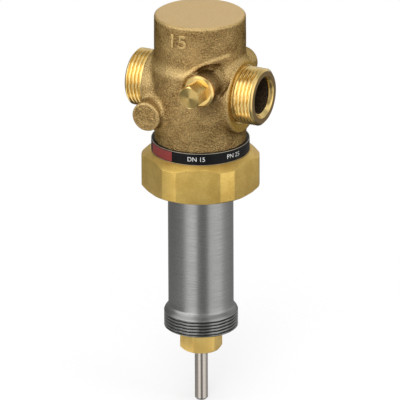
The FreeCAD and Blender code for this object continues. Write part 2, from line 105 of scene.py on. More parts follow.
# a socket goes by its name, or by its number as i0, i1 and so on
def put(tree, kind, settings=None, **sockets):
    feeds = [value.node.location.x for value in sockets.values() if hasattr(value, "is_output")]
    x = max(feeds, default=-editor["column"]) + editor["column"]
    y = editor["row"] * sum(other.location.x == x for other in tree.nodes)
    node = tree.nodes.new(kind)
    node.location = (x, y)
    for name, value in (settings or {}).items():
        setattr(node, name, value)
    for name, value in sockets.items():
        socket = node.inputs[int(name[1:])] if name[1:].isdigit() else node.inputs[name]
        if hasattr(value, "is_output"):
            tree.links.new(value, socket)
        else:
            socket.default_value = value
    return node


def mathNode(tree, operation, a, b=0.0, c=0.0):
    return put(tree, "ShaderNodeMath", {"operation": operation}, i0=a, i1=b, i2=c).outputs[0]


def times(tree, a, b):
    return mathNode(tree, "MULTIPLY", a, b)


def timesPlus(tree, a, b, c):
    return mathNode(tree, "MULTIPLY_ADD", a, b, c)


def mixColor(tree, amount, a, b):
    return put(tree, "ShaderNodeMix", {"data_type": "RGBA"}, i0=amount, i6=a, i7=b).outputs[2]


def mapRange(tree, value, low, high, toLow=0.0, toHigh=1.0):
    return put(tree, "ShaderNodeMapRange", {"interpolation_type": "SMOOTHSTEP"}, i0=value, i1=low, i2=high,
               i3=toLow, i4=toHigh).outputs[0]


def splitVector(tree, vector):
    return put(tree, "ShaderNodeSeparateXYZ", Vector=vector).outputs


def newGroup(name, inputs, outputs):
    tree = bpy.data.node_groups.new(name, "ShaderNodeTree")
    for label, kind, value in inputs:
        socket = tree.interface.new_socket(name=label, in_out="INPUT", socket_type="NodeSocket" + kind)
        if value is not None:
            socket.default_value = value
    for label, kind in outputs:
        tree.interface.new_socket(name=label, in_out="OUTPUT", socket_type="NodeSocket" + kind)
    entry = put(tree, "NodeGroupInput")
    leave = put(tree, "NodeGroupOutput", {"location": editor["groupEnd"]})
    return tree, entry.outputs, leave.inputs


def placeGroup(tree, group, **sockets):
    return put(tree, "ShaderNodeGroup", {"node_tree": group}, **sockets).outputs


def rgb(red, green, blue):
    def toLinear(level):
        level = level / 255
        return level / 12.92 if level <= 0.04045 else ((level + 0.055) / 1.055) ** 2.4  # the sRGB curve
    return (toLinear(red), toLinear(green), toLinear(blue), 1.0)


white = (1.0, 1.0, 1.0, 1.0)

# grain of a sand casting or a blasted forging: fine bumps, pits and slow blotches
grainMake = {"size": 0.8, "detail": 2.0, "roughness": 0.6, "range": (0.3, 0.7),
             "pitScale": 0.62, "pitSmooth": 0.6, "pitRange": (0.15, 0.6), "pitDepth": -0.45,
             "slowScale": 170.0, "slowDetail": 3.0, "slowRange": (0.3, 0.7)}


def makeGrainGroup(look):
    tree, given, out = newGroup("grainSkin", [("Vector", "Vector", None), ("Size", "Float", look["size"])],
                                [("Grain", "Float"), ("Pits", "Float"), ("Blotch", "Float"), ("Height", "Float")])
    perMm = mathNode(tree, "DIVIDE", 1 / mm, given["Size"])
    fine = put(tree, "ShaderNodeTexNoise", Vector=given["Vector"], Scale=perMm,
               Detail=look["detail"], Roughness=look["roughness"]).outputs["Fac"]
    pitScale = times(tree, perMm, look["pitScale"])
    pits = put(tree, "ShaderNodeTexVoronoi", {"feature": "SMOOTH_F1"}, Vector=given["Vector"],
               Scale=pitScale, Smoothness=look["pitSmooth"]).outputs["Distance"]
    slow = put(tree, "ShaderNodeTexNoise", Vector=given["Vector"],
               Scale=look["slowScale"], Detail=look["slowDetail"]).outputs["Fac"]
    grain = mapRange(tree, fine, *look["range"])
    pitMask = mapRange(tree, pits, *look["pitRange"])
    tree.links.new(grain, out["Grain"])
    tree.links.new(pitMask, out["Pits"])
    tree.links.new(mapRange(tree, slow, *look["slowRange"]), out["Blotch"])
    tree.links.new(timesPlus(tree, pitMask, look["pitDepth"], grain), out["Height"])
    return tree


# tool lines left by turning or brushing, running across the vector's Z
linesMake = {"pitch": 0.15, "acrossScale": 90.0, "detail": 3.0, "roughness": 0.55, "range": (0.3, 0.7)}


def makeLinesGroup(look):
    tree, given, out = newGroup("toolLines", [("Vector", "Vector", None), ("Pitch", "Float", look["pitch"])],
                                [("Lines", "Float"), ("Height", "Float")])
    perMm = mathNode(tree, "DIVIDE", 1 / mm, given["Pitch"])
    parts = splitVector(tree, given["Vector"])
    along = times(tree, parts["Z"], perMm)
    wide = times(tree, parts["X"], look["acrossScale"])
    deep = times(tree, parts["Y"], look["acrossScale"])
    stretched = put(tree, "ShaderNodeCombineXYZ", X=wide, Y=deep, Z=along).outputs[0]
    lines = put(tree, "ShaderNodeTexNoise", Vector=stretched, Scale=1.0,
                Detail=look["detail"], Roughness=look["roughness"]).outputs["Fac"]
    tree.links.new(mapRange(tree, lines, *look["range"]), out["Lines"])
    tree.links.new(lines, out["Height"])
    return tree


# rubbed edges and dark corners, by how far the pointiness is from that of a flat face
edgeMake = {"spread": 0.06, "scale": 420.0, "detail": 3.0, "swing": 0.008, "edgeFrom": 0.505, "hollowFrom": 0.495}


def makeEdgeGroup(look):
    tree, given, out = newGroup("rubbedEdges", [("Vector", "Vector", None), ("Spread", "Float", look["spread"])],
                                [("Edge", "Float"), ("Hollow", "Float")])
    point = put(tree, "ShaderNodeNewGeometry").outputs["Pointiness"]
    rough = put(tree, "ShaderNodeTexNoise", Vector=given["Vector"],
                Scale=look["scale"], Detail=look["detail"]).outputs["Fac"]
    level = mathNode(tree, "SUBTRACT", point, look["swing"] / 2)
    swing = timesPlus(tree, rough, look["swing"], level)
    high = mathNode(tree, "ADD", given["Spread"], look["edgeFrom"])
    low = mathNode(tree, "SUBTRACT", look["hollowFrom"], given["Spread"])
    tree.links.new(mapRange(tree, swing, look["edgeFrom"], high), out["Edge"])
    tree.links.new(mapRange(tree, swing, look["hollowFrom"], low), out["Hollow"])
    return tree


grainSkin = makeGrainGroup(grainMake)
toolLines = makeLinesGroup(linesMake)
rubbedEdges = makeEdgeGroup(edgeMake)


def emptyMaterial(name):
    material = bpy.data.materials.new(name)
    material.use_nodes = True
    material.node_tree.nodes.clear()
    return material, material.node_tree


def newMaterial(name):
    material, tree = emptyMaterial(name)
    shader = put(tree, "ShaderNodeBsdfPrincipled", {"location": editor["shader"]})
    put(tree, "ShaderNodeOutputMaterial", {"location": editor["output"]}, Surface=shader.outputs[0])
    where = put(tree, "ShaderNodeTexCoord").outputs["Object"]
    return material, tree, shader, where


def bump(tree, shader, height, strength, distance):
    made = put(tree, "ShaderNodeBump", Height=height, Strength=strength, Distance=distance * mm)
    tree.links.new(made.outputs[0], shader.inputs["Normal"])


# colours laid one over the other, each by its amount
def layColors(tree, color, layers):
    for amount, tint in layers:
        color = mixColor(tree, amount, color, tint)
    return color


# sand-cast bronze of the body; lengths in mm
castLook = {
    "mid": rgb(184, 151, 97), "dark": rgb(111, 87, 51), "hollow": rgb(108, 84, 52), "light": rgb(240, 208, 144),
    "top": rgb(238, 206, 148), "faced": rgb(214, 176, 96), "edgeTint": (0.3, 0.27, 0.22, 1.0), "metal": 0.95,
    "grainSize": 0.6, "edgeSpread": 0.05, "blotchShare": 0.2, "edgeShare": 0.55, "hollowShare": 0.6,
    "rough": 0.23, "pitRough": 0.16, "topRough": 0.12, "bump": (0.7, 0.25), "calmBump": 0.3,
    # painted light on faces that turn upward: the range of their upward share, and how much lighter
    "slope": (0.05, 0.32), "slopePaintedLight": 0.4,
    "topLevel": 149.0, "topFacing": (0.75, 0.97), "topGrain": 0.12, "topShare": 0.85,
    "facedFrom": (22.2, 22.3), "facedShare": 0.7, "front": (-6.0, -9.0),
    "pocket": (13.5, 120.0), "pocketReach": (7.0, 12.5), "pocketEdge": (1.05, 0.6), "pocketShade": 0.6,
    # the ridge keys place a painted highlight along the ridge over the pocket
    "ridgeCurve": (126.8, 1.02, -0.0235), "ridgeLow": 129.2, "ridgeStart": (-10.0, 6.0), "ridgeEnd": (21.0, 18.5),
    "ridgeShare": 0.75, "ridgeWidth": (1.5, 0.2),
}


# shaded pocket beside the plug: an ellipse on the front
def pocketShade(tree, parts, front, look):
    (midX, midZ), (reachX, reachZ) = look["pocket"], look["pocketReach"]
    aside = mathNode(tree, "SUBTRACT", parts["X"], midX * mm)
    aside = mathNode(tree, "DIVIDE", aside, reachX * mm)
    over = mathNode(tree, "SUBTRACT", parts["Z"], midZ * mm)
    over = mathNode(tree, "DIVIDE", over, reachZ * mm)
    square = timesPlus(tree, aside, aside, times(tree, over, over))
    spread = mathNode(tree, "SQRT", square)
    inside = times(tree, front, mapRange(tree, spread, *look["pocketEdge"]))
    return times(tree, inside, look["pocketShade"])


# painted highlight along the ridge over the pocket: its level is a curve by X, in mm
def ridgeHighlight(tree, parts, front, look):
    start, slope, bend = look["ridgeCurve"]
    across = times(tree, parts["X"], 1 / mm)
    level = timesPlus(tree, across, timesPlus(tree, across, bend, slope), start)
    level = mathNode(tree, "MAXIMUM", level, look["ridgeLow"])
    off = mathNode(tree, "SUBTRACT", times(tree, parts["Z"], 1 / mm), level)
    off = mathNode(tree, "ABSOLUTE", off)
    starts = mapRange(tree, across, *look["ridgeStart"], 0.0, look["ridgeShare"])
    ends = mapRange(tree, across, *look["ridgeEnd"])
    along = times(tree, times(tree, starts, ends), front)
    return times(tree, along, mapRange(tree, off, *look["ridgeWidth"]))


def makeCastBronze(look):
    material, tree, shader, where = newMaterial("castBronze")
    skin = placeGroup(tree, grainSkin, Vector=where, Size=look["grainSize"])
    edges = placeGroup(tree, rubbedEdges, Vector=where, Spread=look["edgeSpread"])
    parts = splitVector(tree, where)
    facing = put(tree, "ShaderNodeTexCoord").outputs["Normal"]
    upward = splitVector(tree, facing)["Z"]
    high = mathNode(tree, "GREATER_THAN", parts["Z"], look["topLevel"] * mm)
    onTop = times(tree, high, mapRange(tree, upward, *look["topFacing"]))
    front = mapRange(tree, parts["Y"], *[level * mm for level in look["front"]])
    outward = mathNode(tree, "ABSOLUTE", parts["X"])
    faced = mapRange(tree, outward, *[level * mm for level in look["facedFrom"]])
    topGrain = times(tree, skin["Grain"], look["topGrain"])
    color = mixColor(tree, skin["Grain"], look["dark"], look["mid"])
    color = layColors(tree, color, (
        (times(tree, skin["Blotch"], look["blotchShare"]), look["light"]),
        (times(tree, edges["Edge"], look["edgeShare"]), look["light"]),
        (times(tree, edges["Hollow"], look["hollowShare"]), look["hollow"]),
        # painted light on faces that turn upward
        (mapRange(tree, upward, *look["slope"], 0.0, look["slopePaintedLight"]), look["light"]),
        (pocketShade(tree, parts, front, look), look["hollow"]),
        # painted highlight along the ridge over the pocket
        (ridgeHighlight(tree, parts, front, look), look["light"]),
        (times(tree, onTop, look["topShare"]), mixColor(tree, topGrain, look["top"], look["mid"])),
        (times(tree, faced, look["facedShare"]), look["faced"]),
    ))
    tree.links.new(color, shader.inputs["Base Color"])
    shader.inputs["Metallic"].default_value = look["metal"]
    tint = mixColor(tree, onTop, look["edgeTint"], white)
    tree.links.new(tint, shader.inputs["Specular Tint"])
    rough = mapRange(tree, skin["Pits"], 0.0, 1.0, look["rough"], look["rough"] + look["pitRough"])
    tree.links.new(timesPlus(tree, onTop, look["topRough"], rough), shader.inputs["Roughness"])
    smooth = mathNode(tree, "MAXIMUM", onTop, faced)
    calm = mapRange(tree, smooth, 0.0, 1.0, 1.0, look["calmBump"])
    bump(tree, shader, times(tree, skin["Height"], calm), *look["bump"])
    return material


# brass: turned, forged or polished, by the values given; lengths in mm
brassLooks = {
    "turnedBrass": {"turned": "X", "light": rgb(240, 211, 140), "deep": rgb(206, 169, 96), "rough": 0.16,
                    "pitch": 0.3, "lines": 0.05, "grain": 0.0, "metal": 1.0,
                    # the port's end face gets a darker colour: a painted dark reflection
                    "face": rgb(132, 102, 54), "faceFrom": 32.45},
    "forgedBrass": {"turned": "Z", "light": rgb(228, 196, 112), "deep": rgb(198, 160, 76), "rough": 0.33,
                    "pitch": 0.3, "lines": 0.05, "grain": 0.3, "metal": 0.92},
    "glandBrass": {"turned": "Z", "light": rgb(254, 220, 132), "deep": rgb(236, 186, 88), "rough": 0.34,
                   "pitch": 0.25, "lines": 0.12, "grain": 0.06, "metal": 0.8},
    "plugBrass": {"turned": "Y", "light": rgb(246, 216, 142), "deep": rgb(208, 162, 80), "rough": 0.2,
                  "pitch": 0.2, "lines": 0.05, "grain": 0.05, "metal": 1.0,
                  "fan": rgb(112, 96, 56), "fanAxis": (10.5, -31.95, 123.3), "fanTurn": 1.571},
}
brassMake = {"grainSize": 0.55, "edgeSpread": 0.08, "grainAge": 0.08, "blotchAge": 0.45, "hollowShare": 0.5,
             "faceShare": 0.85, "faceEdge": 0.05, "fanShare": (0.35, 0.9), "lineRough": 0.1, "grainRough": 0.35,
             "bump": (0.6, 0.06)}
turnedSpin = {"Z": (0, 0, 0), "X": (0, math.pi / 2, 0), "Y": (math.pi / 2, 0, 0)}


# end face of a port, cut square, painted darker as a dark reflection
def portFaceShade(tree, where, look, make):
    out = mathNode(tree, "ABSOLUTE", splitVector(tree, where)["X"])
    face = look["faceFrom"] * mm
    faced = mapRange(tree, out, face - make["faceEdge"] * mm, face)
    return times(tree, faced, make["faceShare"])


# fan of shade on a turned end: two dark and two light quarters
def endFan(tree, where, look, make):
    axis = [length * mm for length in look["fanAxis"]]
    around = put(tree, "ShaderNodeVectorMath", {"operation": "SUBTRACT"}, i0=where, i1=axis).outputs[0]
    parts = splitVector(tree, around)
    angle = mathNode(tree, "ARCTAN2", parts["Z"], parts["X"])
    wave = mathNode(tree, "COSINE", timesPlus(tree, angle, 2.0, look["fanTurn"]))
    sweep = timesPlus(tree, wave, 0.5, 0.5)
    onEnd = mapRange(tree, parts["Y"], 0.0, -make["faceEdge"] * mm)
    return times(tree, onEnd, mapRange(tree, sweep, 0.0, 1.0, *make["fanShare"]))


def makeBrass(name, look, make=brassMake):
    material, tree, shader, where = newMaterial(name)
    spin = turnedSpin[look["turned"]]
    lengthwise = put(tree, "ShaderNodeMapping", Vector=where, Rotation=spin).outputs[0]
    lines = placeGroup(tree, toolLines, Vector=lengthwise, Pitch=look["pitch"])
    skin = placeGroup(tree, grainSkin, Vector=where, Size=make["grainSize"])
    edges = placeGroup(tree, rubbedEdges, Vector=where, Spread=make["edgeSpread"])
    blotch = times(tree, skin["Blotch"], make["blotchAge"])
    age = timesPlus(tree, skin["Grain"], look["grain"] + make["grainAge"], blotch)
    layers = [(age, look["deep"]), (times(tree, edges["Hollow"], make["hollowShare"]), look["deep"])]
    # painted dark reflection on a port's end face
    if "face" in look:
        layers.append((portFaceShade(tree, where, look, make), look["face"]))
    if "fan" in look:
        layers.append((endFan(tree, where, look, make), look["fan"]))
    tree.links.new(layColors(tree, look["light"], layers), shader.inputs["Base Color"])
    shader.inputs["Metallic"].default_value = look["metal"]
    grainRough = times(tree, skin["Grain"], look["grain"] * make["grainRough"])
    worn = timesPlus(tree, lines["Lines"], make["lineRough"], grainRough)
    tree.links.new(mathNode(tree, "ADD", worn, look["rough"]), shader.inputs["Roughness"])
    grainHeight = times(tree, skin["Height"], look["grain"])
    bump(tree, shader, timesPlus(tree, lines["Height"], look["lines"], grainHeight), *make["bump"])
    return material


# turned steel of the neck and ground steel of the spindle; lengths in mm
steelLooks = {
    "turnedSteel": {"light": rgb(164, 164, 162), "deep": rgb(126, 125, 123), "rough": 0.24, "pitch": 0.16, "lines": 0.5,
                    # thread and slope colours: painted shade on the collar's thread and the upward slope above it
                    "thread": rgb(150, 150, 148), "threadTo": 8.4, "slope": rgb(126, 126, 124), "slopeTo": 10.2},
    "groundSteel": {"light": rgb(204, 196, 186), "deep": rgb(166, 158, 150), "rough": 0.12, "pitch": 0.1,
                    "lines": 0.12},
}
steelMake = {"grainSize": 1.2, "grainAge": 0.12, "lineAge": 0.35, "slopeEdge": 0.8, "slopeShare": 1.0,
             "threadEdge": 0.3, "threadShare": 0.85, "lineRough": 0.12, "bumpDepth": 0.02}


def makeSteel(name, look, make=steelMake):
    material, tree, shader, where = newMaterial(name)
    lines = placeGroup(tree, toolLines, Vector=where, Pitch=look["pitch"])
    skin = placeGroup(tree, grainSkin, Vector=where, Size=make["grainSize"])
    lineAge = times(tree, lines["Lines"], make["lineAge"])
    layers = [(timesPlus(tree, skin["Grain"], make["grainAge"], lineAge), look["deep"])]
    # painted shade on the collar's thread and the slope above it, by height
    if "thread" in look:
        level = splitVector(tree, where)["Z"]
        for zone in ("slope", "thread"):
            end, edge, share = look[zone + "To"] * mm, make[zone + "Edge"] * mm, make[zone + "Share"]
            layers.append((mapRange(tree, level, end + edge, end - edge, 0.0, share), look[zone]))
    tree.links.new(layColors(tree, look["light"], layers), shader.inputs["Base Color"])
    shader.inputs["Metallic"].default_value = 1.0
    rough = timesPlus(tree, lines["Lines"], make["lineRough"], look["rough"])
    tree.links.new(rough, shader.inputs["Roughness"])
    bump(tree, shader, lines["Height"], look["lines"], make["bumpDepth"])
    return material


# plain finishes: seals, packings, print, copper, and the bore's painted shade
plainLooks = {
    "rubber": {"light": rgb(48, 47, 46), "deep": rgb(26, 25, 25), "rough": 0.6, "metal": 0.0, "size": 0.5},
    "graphite": {"light": rgb(66, 66, 68), "deep": rgb(38, 38, 40), "rough": 0.5, "metal": 0.2, "size": 0.6},
    "packing": {"light": rgb(226, 224, 216), "deep": rgb(200, 196, 184), "rough": 0.5, "metal": 0.0, "size": 0.7},
    # the bore's wall: painted shade, dark as the shadow inside the bore
    "paintedBoreShade": {"light": rgb(74, 58, 38), "deep": rgb(40, 32, 22), "rough": 0.55, "metal": 0.4, "size": 0.9},
    "copper": {"light": rgb(214, 136, 98), "deep": rgb(160, 92, 62), "rough": 0.32, "metal": 1.0, "size": 0.8},
    "whitePrint": {"light": rgb(226, 228, 226), "deep": rgb(206, 208, 206), "rough": 0.45, "metal": 0.0, "size": 0.4},
    "redPrint": {"light": rgb(146, 52, 48), "deep": rgb(122, 40, 38), "rough": 0.45, "metal": 0.0, "size": 0.6},
}
plainMake = {"pitRough": 0.12, "bump": (0.3, 0.03)}


def makePlain(name, look, make=plainMake):
    material, tree, shader, where = newMaterial(name)
    skin = placeGroup(tree, grainSkin, Vector=where, Size=look["size"])
    color = mixColor(tree, skin["Grain"], look["light"], look["deep"])
    tree.links.new(color, shader.inputs["Base Color"])
    shader.inputs["Metallic"].default_value = look["metal"]
    rough = timesPlus(tree, skin["Pits"], make["pitRough"], look["rough"])
    tree.links.new(rough, shader.inputs["Roughness"])
    bump(tree, shader, skin["Height"], *make["bump"])
    return material


# black label ring with its bare bright edges; lengths in mm
ringLook = {"black": rgb(14, 14, 15), "scuff": rgb(28, 27, 28), "edge": rgb(196, 188, 170), "low": 86.6, "high": 92.2,
            "line": 0.14, "lineEdge": (-0.08, 0.04), "outside": 22.5, "outsideEdge": (-0.3, -0.2), "grainSize": 0.9,
            "scuffShare": 0.35, "rough": 0.4, "grainRough": 0.1, "specular": 0.12, "edgeMetal": 0.8,
            "bump": (0.15, 0.02)}


def makeLabelBlack(look):
    material, tree, shader, where = newMaterial("labelBlack")
    skin = placeGroup(tree, grainSkin, Vector=where, Size=look["grainSize"])
    parts = splitVector(tree, where)
    middle, reach = (look["low"] + look["high"]) / 2, (look["high"] - look["low"]) / 2
    off = mathNode(tree, "SUBTRACT", parts["Z"], middle * mm)
    off = mathNode(tree, "ABSOLUTE", off)
    rim = mapRange(tree, off, *[(reach - look["line"] + edge) * mm for edge in look["lineEdge"]])
    square = timesPlus(tree, parts["X"], parts["X"], times(tree, parts["Y"], parts["Y"]))
    radius = mathNode(tree, "SQRT", square)
    outer = mapRange(tree, radius, *[(look["outside"] + edge) * mm for edge in look["outsideEdge"]])
    rim = times(tree, rim, outer)
    scuff = times(tree, skin["Blotch"], look["scuffShare"])
    color = layColors(tree, look["black"], ((scuff, look["scuff"]), (rim, look["edge"])))
    tree.links.new(color, shader.inputs["Base Color"])
    rough = timesPlus(tree, skin["Grain"], look["grainRough"], look["rough"])
    tree.links.new(rough, shader.inputs["Roughness"])
    shader.inputs["Specular IOR Level"].default_value = look["specular"]
    tree.links.new(times(tree, rim, look["edgeMetal"]), shader.inputs["Metallic"])
    bump(tree, shader, skin["Height"], *look["bump"])
    return material


finishes = {"castBronze": makeCastBronze(castLook), "labelBlack": makeLabelBlack(ringLook)}
for makeFinish, looks in ((makeBrass, brassLooks), (makeSteel, steelLooks), (makePlain, plainLooks)):
    for name, look in looks.items():
        finishes[name] = makeFinish(name, look)
print("finishes made:", len(finishes))


# mesh helpers
meshMake = {"sharpAngle": 38, "weld": 2e-6}


def setFinish(mesh, finish):
    mesh.materials.clear()
    mesh.materials.append(finishes[finish])


def newPiece(name, mesh, finish, body="housing", stands=()):
    setFinish(mesh, finish)
    piece = newObject(name, mesh)
    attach(piece, body)
    if stands:
        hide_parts(*stands)


def smoothFaces(mesh):
    for polygon in mesh.polygons:
        polygon.use_smooth = True


def sharpEdges(mesh, angle):
    smoothFaces(mesh)
    mesh.set_sharp_from_angle(angle=math.radians(angle))


def meshFrom(name, points, faces):
    mesh = bpy.data.meshes.new(name)
    mesh.from_pydata(points, [], faces)
    mesh.validate()
    sharpEdges(mesh, meshMake["sharpAngle"])
    return mesh


def solidCopy(name, node):
    work = bmesh.new()
    work.from_mesh(nodes[node].data)
    bmesh.ops.remove_doubles(work, verts=work.verts, dist=meshMake["weld"])
    mesh = bpy.data.meshes.new(name)
    work.to_mesh(mesh)
    work.free()
    return mesh


def applied(thing):
    shape = thing.evaluated_get(bpy.context.evaluated_depsgraph_get())
    mesh = bpy.data.meshes.new_from_object(shape)
    bpy.data.objects.remove(thing)
    return mesh


# a place round the valve's axis; the angle is counted from the front towards the outlet
def roundAxis(angle, radius, level):
    return (math.sin(angle) * radius, -math.cos(angle) * radius, level)


# a turned piece: outline of (along, radius) in mm, with a real helical thread between two places
turnMake = {"crest": 0.45, "flank": 0.42, "threadRows": 14, "plainStep": 3, "near": 1e-6}


def threadDip(phase):
    swing = abs(2 * phase - 1)
    return min(1.0, max(0.0, (swing - turnMake["crest"]) / turnMake["flank"]))


def isThread(thread, start, end):
    if not thread:
        return False
    near = turnMake["near"]
    low, high = min(start[0], end[0]), max(start[0], end[0])
    return abs(start[1] - end[1]) < near and low >= thread["from"] - near and high <= thread["to"] + near


def turnedRows(outline, thread):
    rows = []
    for start, end in zip(outline, outline[1:]):
        length = math.hypot(end[0] - start[0], end[1] - start[1])
        cut = isThread(thread, start, end)
        if cut:
            steps = max(1, round(length / (thread["pitch"] / turnMake["threadRows"])))
        else:
            steps = max(1, math.ceil(length / turnMake["plainStep"]))
        for i in range(steps):
            share = i / steps
            rows.append((start[0] + (end[0] - start[0]) * share, start[1] + (end[1] - start[1]) * share, cut))
    rows.append((*outline[-1], False))
    return rows


def turnedMesh(name, outline, segments, thread=None):
    rows = turnedRows(outline, thread)
    points, faces = [], []
    for along, radius, cut in rows:
        for k in range(segments):
            angle = 2 * math.pi * k / segments
            r = radius
            if cut:
                ends = min(along - thread["from"], thread["to"] - along)
                depth = thread["depth"] * min(1.0, max(0.0, ends / thread["fade"]))
                r -= depth * threadDip((along / thread["pitch"] - k / segments) % 1.0)
            points.append((r * math.cos(angle) * mm, r * math.sin(angle) * mm, along * mm))
    for j in range(len(rows) - 1):
        low, high = j * segments, (j + 1) * segments
        for k in range(segments):
            nextK = (k + 1) % segments
            faces.append((low + k, low + nextK, high + nextK, high + k))
    return meshFrom(name, points, faces)


# cast body: the solid cut back to its port shoulders, with the soft blends of a casting; lengths in mm
castBody = {"voxel": 0.54, "shoulder": 22.4, "shoulderDrop": 1.2, "shoulderRadius": 16.3, "shoulderSkin": 0.3,
            "cutter": 60.0, "chamberRadius": 17.2, "topLevel": 149.0, "boreRadius": 10.5, "footLevel": 92.7,
            "roundSteps": 5, "blendSteps": 60, "blendShare": 0.5, "wave": 0.07, "waveSize": 9.0, "waveLean": 0.6}


# 1 for what may be smoothed: the outside, but no bore, foot or faced shoulder
def freeOutside(place, look):
    x, y, z = place.T
    outside = (np.hypot(x, y) > look["chamberRadius"] * mm) | (z > look["topLevel"] * mm)
    inBore = np.hypot(y, z - pipeLevel * mm) < look["boreRadius"] * mm
    free = outside & ~inBore & (z > look["footLevel"] * mm)
    shoulderOff = np.hypot(y, z - (pipeLevel - look["shoulderDrop"]) * mm)
    atShoulder = np.abs(x) > (look["shoulder"] - look["shoulderSkin"]) * mm
    free &= ~(atShoulder & (shoulderOff < look["shoulderRadius"] * mm))
    return free.astype(float)[:, None]


# inside corners fill up in every step, outside edges are rounded in the first ones only
def softenCasting(mesh, look):
    count = len(mesh.vertices)
    place = np.empty(count * 3)
    mesh.vertices.foreach_get("co", place)
    place = place.reshape(-1, 3)
    ends = np.empty(len(mesh.edges) * 2, int)
    mesh.edges.foreach_get("vertices", ends)
    a, b = ends[0::2], ends[1::2]
    near = np.bincount(a, minlength=count) + np.bincount(b, minlength=count)
    corners = np.array([p.vertices[:] for p in mesh.polygons if len(p.vertices) == 4]).T
    weight = freeOutside(place, look)
    for step in range(look["blendSteps"]):
        total = [np.bincount(a, place[b, i], count) + np.bincount(b, place[a, i], count) for i in range(3)]
        move = np.stack(total, 1) / near[:, None] - place
        p = [place[corner] for corner in corners]
        across = np.cross(p[2] - p[0], p[3] - p[1])
        facing = [sum(np.bincount(corner, across[:, i], count) for corner in corners) for i in range(3)]
        normal = np.stack(facing, 1)
        normal /= np.linalg.norm(normal, axis=1, keepdims=True) + 1e-12
        outward = (move * normal).sum(1, keepdims=True)
        take = np.where(outward > 0, 1.0, 1.0 if step < look["roundSteps"] else 0.0)
        place = place + look["blendShare"] * move * take * weight
    wave = np.array([noise.noise(Vector(spot)) for spot in place / (look["waveSize"] * mm)])
    place = place + normal * (wave[:, None] - look["waveLean"]) * look["wave"] * mm * weight
    mesh.vertices.foreach_set("co", place.ravel())
    mesh.update()


def makeCastBody(look):
    thing = newObject("castWork", solidCopy("castWork", "valve_body"))
    size = look["cutter"] * mm
    cutters = []
    for side in (1, -1):
        out = side * (look["shoulder"] * mm + size / 2)
        bpy.ops.mesh.primitive_cube_add(size=size, location=(out, 0, pipeLevel * mm))
        cutters.append(bpy.context.object)
        trim = thing.modifiers.new("portTrim", "BOOLEAN")
        trim.operation = "DIFFERENCE"
        trim.solver = "EXACT"
        trim.object = cutters[-1]
    grid = thing.modifiers.new("castGrid", "REMESH")
    grid.mode = "VOXEL"
    grid.voxel_size = look["voxel"] * mm
    mesh = applied(thing)
    for cutter in cutters:
        bpy.data.objects.remove(cutter)
    softenCasting(mesh, look)
    smoothFaces(mesh)
    mesh.name = "castBody"
    newPiece("castBody", mesh, "castBronze", stands=["valve_body"])
    print("cast body:", len(mesh.polygons), "faces")


makeCastBody(castBody)

# threaded ports, turned from the casting: bore, mouth, pipe thread, run-out and the faced shoulder
portTurn = {"end": 32.5, "root": 22.42, "thread": 13.2, "bore": 8.5, "boreFrom": 11.5, "boreLap": 0.3, "mouth": 9.62,
            "mouthDepth": 1.8, "chamfer": 1.0, "relief": 0.45, "runOut": 1.0, "faced": 13.9, "pitch": 1.814,
            "depth": 0.7, "fade": 0.5, "segments": 144}


def makePorts(look):
    end, root, r, bore = look["end"], look["root"], look["thread"], look["bore"]
    mouth, chamfer, groove = look["mouth"], look["chamfer"], r - look["relief"]
    mouthEnd = end - look["mouthDepth"]
    lap = (mouthEnd - look["boreLap"], bore)
    thread = {"from": root + look["runOut"], "to": end - chamfer - 0.1, "pitch": look["pitch"],
              "depth": look["depth"], "fade": look["fade"]}
    outline = [lap, (mouthEnd, bore), (end - 0.25, mouth - 0.05), (end, mouth + 0.2),
               (end, r - chamfer - 0.15), (end - 0.15, r - chamfer), (end - chamfer, r - 0.02),
               (thread["to"], r), (thread["from"], r), (root + 0.8, groove), (root + 0.15, groove),
               (root, groove + 0.15), (root, look["faced"] - 0.2), (root - 0.2, look["faced"])]
    wall = [(look["boreFrom"], bore), lap]
    for name, side in (("outletPort", 1), ("inletPort", -1)):
        turn = Matrix.Translation((0, 0, pipeLevel * mm)) @ Matrix.Rotation(math.radians(90 * side), 4, "Y")
        mesh = turnedMesh(name, outline, look["segments"], thread)
        mesh.transform(turn)
        newPiece(name, mesh, "turnedBrass")
        # the bore's wall, painted dark as shade
        inside = turnedMesh(name + "Bore", wall, look["segments"])
        inside.transform(turn)
        newPiece(name + "Bore", inside, "paintedBoreShade")
    print("ports turned")


makePorts(portTurn)

# neck tube with the threaded actuator collar
neckTurn = {"tube": 15.0, "collar": 17.0, "from": 0.6, "to": 8.0, "pitch": 1.5, "depth": 0.95, "fade": 0.3,
            "segments": 160}


def makeNeck(look):
    tube, collar = look["tube"], look["collar"]
    outline = [(0.8, 7.0), (0.8, 10.7), (0.0, 10.72), (0.0, collar - 0.75), (0.12, collar - 0.5), (0.5, collar - 0.04),
               (look["from"], collar), (look["to"], collar), (8.15, collar - 0.1), (8.5, collar - 0.2),
               (8.9, collar - 0.4), (9.6, collar - 0.9), (10.2, tube + 0.5), (10.8, tube + 0.14), (11.5, tube),
               (72.0, tube), (72.2, tube + 0.2), (72.2, 19.4), (72.3, 19.5), (76.5, 19.5), (76.5, 13.0), (75.0, 13.0),
               (75.0, 10.5), (15.0, 10.5), (15.0, 3.3), (12.0, 3.3), (12.0, 7.0), (0.8, 7.0)]
    mesh = turnedMesh("neckTube", outline, look["segments"], look)
    newPiece("neckTube", mesh, "turnedSteel", stands=["bonnet_tube"])
    print("neck turned")


makeNeck(neckTurn)

# nuts and plug: the solids with softly broken edges
softEdged = {
    "unionNut": {"node": "union_nut", "finish": "forgedBrass", "width": 0.35},
    "glandNut": {"node": "gland_nut", "finish": "glandBrass", "width": 0.3},
    "testPlug": {"node": "test_plug", "finish": "plugBrass", "width": 0.22},
}
softMake = {"flatAngle": 0.6, "segments": 3, "edgeAngle": 22, "sharpAngle": 20}


